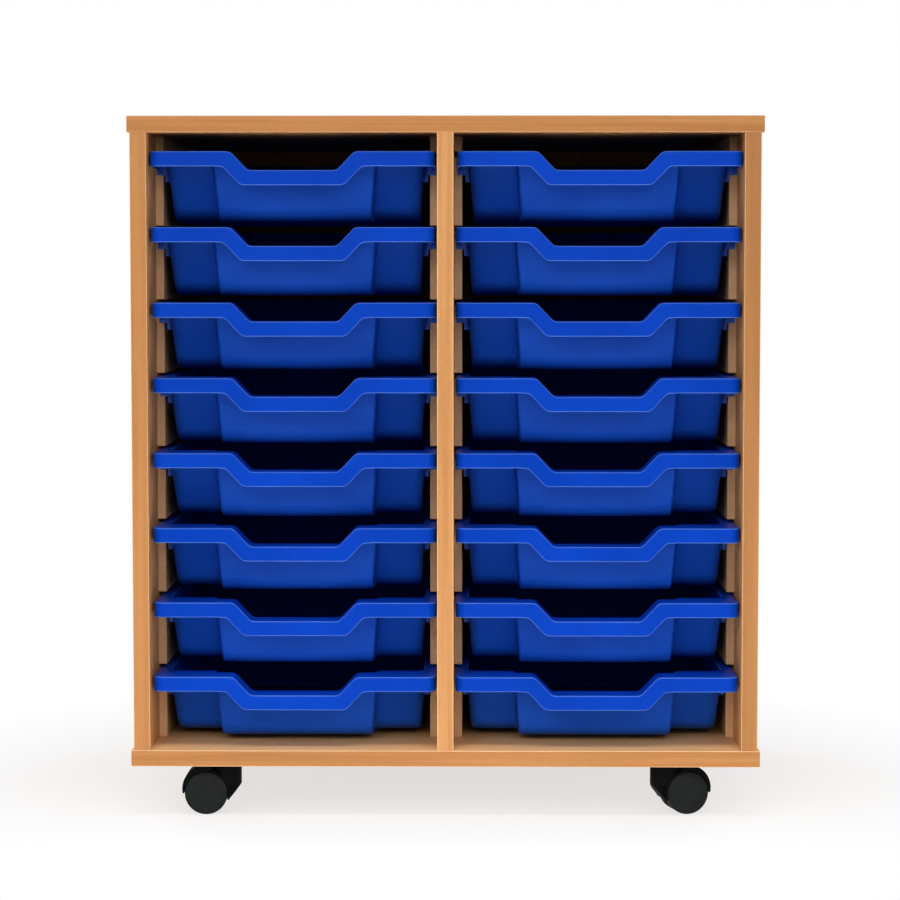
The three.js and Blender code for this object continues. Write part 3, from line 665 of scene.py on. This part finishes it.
def tray_section(i, rim, outward, outer, inner):
    """The tray's closed section at one place: band, rim, inside wall and floor, underside and back up.
    Each point is (place, how much painted highlight it takes on a rounded edge). The floors are closed
    later"""
    place, out = rim[i], outward[i]
    top = dip_height(place.x, 0, 0)
    foot = band_foot(place)
    lip_out = (outer.mouth[i] - inner.mouth[i]).normalized()
    mouth_top = dip_height(inner.mouth[i].x, 0, 0) if inner.mouth[i].y < CORNER_SETBACK else 0.0

    def at_rim(inwards, z):
        plan = place - out * inwards
        return Vector((plan.x, plan.y, z))

    def at_lip(outwards, z):
        plan = inner.mouth[i] + lip_out * outwards
        return Vector((plan.x, plan.y, z))

    room = max(0.0, top - RIM - foot)
    inside_edge = min(INSIDE_EDGE, room / 2)
    upper = []
    for s, c in quarter(EDGE_STEPS):
        upper.append((at_rim(BAND_FOOT_EDGE * (1 - s), foot + BAND_FOOT_EDGE * (1 - c)), 1))
    upper.append((at_rim(0, foot + BAND_FOOT_EDGE + HIGHLIGHT_FADE), 0))
    upper.append((at_rim(0, top - RIM_EDGE - HIGHLIGHT_FADE), 0))
    for s, c in quarter(EDGE_STEPS):
        upper.append((at_rim(RIM_EDGE * (1 - c), top - RIM_EDGE * (1 - s)), 2 * s * c))
    for s, c in quarter(EDGE_STEPS):
        upper.append((at_lip(MOUTH_EDGE * (1 - s), mouth_top - MOUTH_EDGE * (1 - c)), s * c * 2))
    upper.append((inner.wall(i, inner.knee_z / 2 + mouth_top / 2), 0))
    upper += [(inner.foot(i, step / FLOOR_STEPS), 0) for step in range(FLOOR_STEPS + 1)]

    under_mouth = mouth_top - RIM - INSIDE_EDGE
    lower = [(outer.foot(i, 1 - step / FLOOR_STEPS), 0) for step in range(FLOOR_STEPS + 1)]
    lower.append((outer.wall(i, (outer.knee_z + under_mouth) / 2), 0))
    lower.append((outer.wall(i, under_mouth), 0))
    lower.append((at_lip(WALL + INSIDE_EDGE, mouth_top - RIM), 0))
    lower.append((at_rim(BAND_THICK + inside_edge, top - RIM), 0))
    lower.append((at_rim(BAND_THICK, top - RIM - inside_edge), 0))
    lower.append((at_rim(BAND_THICK, foot + inside_edge), 0))
    lower.append((at_rim(BAND_THICK - inside_edge, foot), 0))
    return upper, lower


def tray_shell():
    """The tray as one closed mesh, lofted through its sections"""
    outer, inner = TrayBody(0), TrayBody(WALL)
    rim, outward = rim_plan(outer.mouth)
    count = len(rim)
    sections = [tray_section(i, rim, outward, outer, inner) for i in range(count)]
    form = bmesh.new()
    # Per vertex: how much painted highlight it takes on the rounded edges
    edge = form.verts.layers.float.new("edge")
    body = form.verts.layers.float.new("body")

    def loops_of(part, body_loops):
        found = []
        for k in range(len(sections[0][part])):
            loop = []
            for section in sections:
                point, edge_highlight = section[part][k]
                vertex = form.verts.new(point)
                vertex[edge] = edge_highlight
                vertex[body] = 1.0 if k < body_loops else 0.0
                loop.append(vertex)
            found.append(loop)
        return found

    upper, lower = loops_of(0, 0), loops_of(1, OUTER_WALL_LOOPS)
    for loops in (upper, lower):
        for first, second in zip(loops, loops[1:]):
            bridge(form, first, second)
    bridge(form, lower[-1], upper[0])
    form.faces.new(upper[-1])
    form.faces.new(lower[0])
    bmesh.ops.remove_doubles(form, verts=form.verts, dist=MERGE_WITHIN)
    return form


# Stops under the rim's front corners: a stepped plate on each side of the tray
STOP_REAR = 77.5 * MM
STOP_THICK = 3 * MM
STOP_EDGE = TRAY_HALF - 0.2 * MM
STOP_STEP = TRAY_HALF - 9 * MM
STOP_OUTER_DROP = 23.5 * MM
STOP_INNER_DROP = 31 * MM
STOP_INNER_TOP = BODY_HALF - WALL / 2
STOP_INNER_FOOT = STOP_INNER_TOP - SIDE_DRAFT * STOP_INNER_DROP / TRAY_HEIGHT


def stop_plate(side):
    """The stop on the left, side -1, or on the right, side 1"""
    form = bmesh.new()
    outline = [
        (STOP_INNER_TOP, -RIM / 2),
        (STOP_INNER_FOOT, -STOP_INNER_DROP),
        (STOP_STEP, -STOP_INNER_DROP),
        (STOP_STEP, -STOP_OUTER_DROP),
        (STOP_EDGE, -STOP_OUTER_DROP),
        (STOP_EDGE, -RIM / 2),
    ]
    prism(form, [(side * x, z) for x, z in outline], "Y", STOP_REAR - STOP_THICK, STOP_REAR)
    return to_mesh("stop", form, SHARP_BELOW)


def tray_mesh():
    """The whole moulding: shell and stops"""
    tray = to_mesh("tray", tray_shell(), ROUND_BELOW)
    for side in (-1, 1):
        tray = combine(tray, stop_plate(side), "UNION")
    tray.shade_smooth()
    tray.set_sharp_from_angle(angle=math.radians(ROUND_BELOW))
    return tray


def add_trays():
    """One moulding in place of each tray's solid"""
    pattern = tray_mesh()
    for column in COLUMNS:
        for row in range(1, ROWS + 1):
            node = f"tray_{column}_{row}"
            low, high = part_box(node)
            mesh = pattern.copy()
            mesh.transform(Matrix.Translation(((low.x + high.x) / 2, low.y, high.z)))
            tray = new_object(f"{node}_moulding", mesh, blue_plastic)
            even = tray.modifiers.new("shading", "WEIGHTED_NORMAL")
            even.keep_sharp = True
            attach(tray, node)
            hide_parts(node)


add_trays()


# Casters: plates, axles and hoods keep their solids

HOOD_EDGE = 0.5 * MM
for caster in CASTERS:
    finish_node(f"{caster}_caster_plate", plated_steel, PLATE_EDGE)
    finish_node(f"{caster}_caster_axle", plated_steel, PLATE_EDGE)
    finish_node(f"{caster}_caster_hood", hood_black, HOOD_EDGE)

# Wheels, turned about their axle: a tyre with rounded edges round a closed disc
wheel_low, wheel_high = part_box("front_left_caster_wheel_a")
WHEEL_RADIUS = (wheel_high.z - wheel_low.z) / 2
WHEEL_WIDTH = wheel_high.y - wheel_low.y
WHEEL_SIDES = 72
TYRE_ROUND = 1.6 * MM
TYRE_DEPTH = 2.6 * MM
GROOVE_RADIUS = WHEEL_RADIUS - TYRE_DEPTH
GROOVE_WIDTH = 0.7 * MM
GROOVE_DEPTH = 0.5 * MM
DISC_SINK = 0.3 * MM
CROWN_RADIUS = GROOVE_RADIUS * 0.6
AXLE_HOLE = 3.3 * MM
HUB_THICK = 3 * MM
HOLE_END = WHEEL_WIDTH - HUB_THICK


def wheel_mesh():
    """A wheel along Z, from the hood's web at 0 to its outer face"""
    face = WHEEL_WIDTH
    tread = WHEEL_RADIUS - TYRE_ROUND
    profile = [(0, HOLE_END), (AXLE_HOLE, HOLE_END), (AXLE_HOLE, 0)]
    profile += [(tread + TYRE_ROUND * s, TYRE_ROUND * (1 - c)) for s, c in quarter(EDGE_STEPS)]
    profile += [(tread + TYRE_ROUND * c, face - TYRE_ROUND * (1 - s)) for s, c in quarter(EDGE_STEPS)]
    profile += [
        (GROOVE_RADIUS + GROOVE_WIDTH, face),
        (GROOVE_RADIUS + GROOVE_WIDTH / 2, face - GROOVE_DEPTH),
        (GROOVE_RADIUS, face - DISC_SINK),
        (CROWN_RADIUS, face - DISC_SINK / 2),
        (0, face - DISC_SINK / 3),
    ]
    form = bmesh.new()
    turned(form, profile, WHEEL_SIDES)
    return to_mesh("wheel", form, SMOOTH_BELOW)


def middle_of(node):
    """The middle of a node's box"""
    low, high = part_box(node)
    return (low + high) / 2


def add_wheels():
    """One turned wheel in place of each wheel's solid, its closed face away from its twin"""
    pattern = wheel_mesh()
    for caster in CASTERS:
        names = [f"{caster}_caster_{wheel}" for wheel in ("wheel_a", "wheel_b")]
        centres = [middle_of(name) for name in names]
        for name, centre, other in zip(names, centres, reversed(centres)):
            outward = (centre - other).normalized()
            turn = outward.to_track_quat("Z", "Y").to_matrix().to_4x4()
            mesh = pattern.copy()
            mesh.transform(Matrix.Translation(centre - outward * WHEEL_WIDTH / 2) @ turn)
            wheel = new_object(f"{name}_turned", mesh, wheel_grey)
            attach(wheel, name)
            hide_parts(name)


add_wheels()

# Screws that hold the plates: low domed heads with a cross cut
PLATE_THICKNESS = 2.5 * MM
SCREW_RADIUS = 2.7 * MM
SCREW_RISE = 0.9 * MM
SCREW_INSET = 5.5 * MM
SCREW_SIDES = 24
DOME_STEPS = 4
CROSS_HALF_LENGTH = 1.5 * MM
CROSS_HALF_WIDTH = 0.3 * MM
CROSS_DEPTH = 0.5 * MM


def screw_mesh():
    """A screw head that hangs from 0 down"""
    head = bmesh.new()
    dome = [(SCREW_RADIUS * c, -SCREW_RISE * s) for s, c in quarter(DOME_STEPS)[:-1]]
    turned(head, [(0, 0)] + dome + [(0, -SCREW_RISE)], SCREW_SIDES)
    screw = to_mesh("screw", head, ROUND_BELOW)
    for length, width in ((CROSS_HALF_LENGTH, CROSS_HALF_WIDTH), (CROSS_HALF_WIDTH, CROSS_HALF_LENGTH)):
        slot = bmesh.new()
        outline = [(-length, -width), (length, -width), (length, width), (-length, width)]
        prism(slot, outline, "Z", CROSS_DEPTH - SCREW_RISE, -2 * SCREW_RISE)
        screw = combine(screw, to_mesh("slot", slot, SHARP_BELOW), "DIFFERENCE")
    return screw


def add_screws():
    """Four screws under each caster's plate"""
    pattern = screw_mesh()
    for caster in CASTERS:
        low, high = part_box(f"{caster}_caster_plate")
        underside = high.z - PLATE_THICKNESS
        places = [(x, y) for x in (low.x + SCREW_INSET, high.x - SCREW_INSET)
                  for y in (low.y + SCREW_INSET, high.y - SCREW_INSET)]
        for count, (x, y) in enumerate(places, 1):
            mesh = pattern.copy()
            mesh.transform(Matrix.Translation((x, y, underside)))
            screw = new_object(f"{caster}_plate_screw_{count}", mesh, plated_steel)
            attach(screw, "carcass")


add_screws()


# Floor, backdrop light and camera

FLOOR_REACH = 60.0
FLOOR_GREY = 0.85
FLOOR_WHITE = 0.7
SHADOW_REACH = 0.35
BACKDROP_FROM = 0.75
FILL_LIGHT = 0.35


def mix_for_camera(tree, seen, otherwise):
    """One shader for what the camera, a mirror or glass sees, and another for the light on things"""
    path = tree.nodes.new("ShaderNodeLightPath")
    looks = path.outputs["Is Camera Ray"]
    for ray in ("Is Glossy Ray", "Is Transmission Ray"):
        looks = math_node(tree, "MAXIMUM", looks, path.outputs[ray])
    node = tree.nodes.new("ShaderNodeMixShader")
    tree.links.new(looks, node.inputs[0])
    tree.links.new(otherwise, node.inputs[1])
    tree.links.new(seen, node.inputs[2])
    return node.outputs[0]


def pale_floor():
    """A white floor that takes a soft shadow, and fades into the white backdrop away from the unit"""
    material, tree, surface = new_material("pale_floor")
    surface.inputs["Base Color"].default_value = (FLOOR_GREY, FLOOR_GREY, FLOOR_GREY, 1.0)
    surface.inputs["Roughness"].default_value = 0.9
    surface.inputs["Specular IOR Level"].default_value = 0.0
    place = tree.nodes.new("ShaderNodeTexCoord")
    distance = tree.nodes.new("ShaderNodeVectorMath")
    distance.operation = "LENGTH"
    tree.links.new(place.outputs["Object"], distance.inputs[0])
    far = spread(tree, distance.outputs["Value"], SHADOW_REACH, BACKDROP_FROM, FLOOR_WHITE, 1.0)
    white = tree.nodes.new("ShaderNodeEmission")
    fade = tree.nodes.new("ShaderNodeMixShader")
    tree.links.new(far, fade.inputs[0])
    tree.links.new(surface.outputs[0], fade.inputs[1])
    tree.links.new(white.outputs[0], fade.inputs[2])
    output = tree.nodes["Material Output"]
    tree.links.new(mix_for_camera(tree, fade.outputs[0], surface.outputs[0]), output.inputs["Surface"])
    return material


def add_floor():
    """A wide level floor under the wheels"""
    form = bmesh.new()
    corners = ((-1, -1), (1, -1), (1, 1), (-1, 1))
    form.faces.new([form.verts.new((x * FLOOR_REACH, y * FLOOR_REACH, 0)) for x, y in corners])
    floor = new_object("floor", to_mesh("floor", form, SHARP_BELOW), pale_floor())


def add_world():
    """White to look at, and an even fill light on the object"""
    world = bpy.data.worlds.new("studio")
    bpy.context.scene.world = world
    world.use_nodes = True
    tree = world.node_tree
    fill = tree.nodes["Background"]
    fill.inputs["Color"].default_value = (1, 1, 1, 1)
    fill.inputs["Strength"].default_value = FILL_LIGHT
    white = tree.nodes.new("ShaderNodeBackground")
    white.inputs["Strength"].default_value = 1.0
    white.inputs["Color"].default_value = (1, 1, 1, 1)
    output = tree.nodes["World Output"]
    tree.links.new(mix_for_camera(tree, white.outputs[0], fill.outputs[0]), output.inputs["Surface"])


def add_lamp(name, place, target, width, height, power, spread_deg=180):
    """A soft oblong lamp that points at a target. The power is in watts"""
    data = bpy.data.lights.new(name, "AREA")
    data.shape = "RECTANGLE"
    data.size = width
    data.size_y = height
    data.energy = power
    data.spread = math.radians(spread_deg)
    lamp = bpy.data.objects.new(name, data)
    lamp.location = place
    lamp.rotation_euler = (Vector(target) - Vector(place)).to_track_quat("-Z", "Y").to_euler()
    bpy.context.scene.collection.objects.link(lamp)


def add_lamps():
    """Soft light from the front and above, some on the floor ahead, and two lamps behind"""
    middle = (0, 0, 0.42)
    add_lamp("front", (0, -3.3, 1.5), middle, 2.6, 1.2, 24)
    add_lamp("high_left", (-1.4, -2.9, 2.0), middle, 1.2, 1.2, 17)
    add_lamp("high_right", (1.4, -2.9, 2.0), middle, 1.2, 1.2, 12)
    add_lamp("floor_light", (0, -0.85, 1.3), (0, -0.85, 0), 1.4, 0.3, 6, 70)
    add_lamp("rear_left", (-2.6, 2.6, 2.2), middle, 1.6, 1.6, 40)
    add_lamp("rear_right", (2.6, 2.6, 2.2), middle, 1.6, 1.6, 40)


# The camera, in metres right of the middle, ahead of the front and below the top
CAMERA_PITCH = math.radians(3.773)
CAMERA_YAW = math.radians(-0.571)
CAMERA_RIGHT = 0.034
CAMERA_DISTANCE = 2.892
CAMERA_BELOW_TOP = 0.173
SENSOR_MM = 36.0
LENS_MM = 106.0


def add_camera():
    """The photograph's view: a long lens a little above mid-height, almost square to the front"""
    data = bpy.data.cameras.new("camera")
    data.sensor_width = SENSOR_MM
    data.lens = LENS_MM
    camera = bpy.data.objects.new("camera", data)
    camera.location = (CAMERA_RIGHT, cad_low.y - CAMERA_DISTANCE, cad_high.z - CAMERA_BELOW_TOP)
    level = math.cos(CAMERA_PITCH)
    right, forward = math.sin(CAMERA_YAW) * level, math.cos(CAMERA_YAW) * level
    ahead = Vector((right, forward, -math.sin(CAMERA_PITCH)))
    camera.rotation_euler = ahead.to_track_quat("-Z", "Y").to_euler()
    bpy.context.scene.collection.objects.link(camera)
    bpy.context.scene.camera = camera


add_floor()
add_world()
add_lamps()
add_camera()
bpy.context.scene.view_settings.view_transform = "Standard"
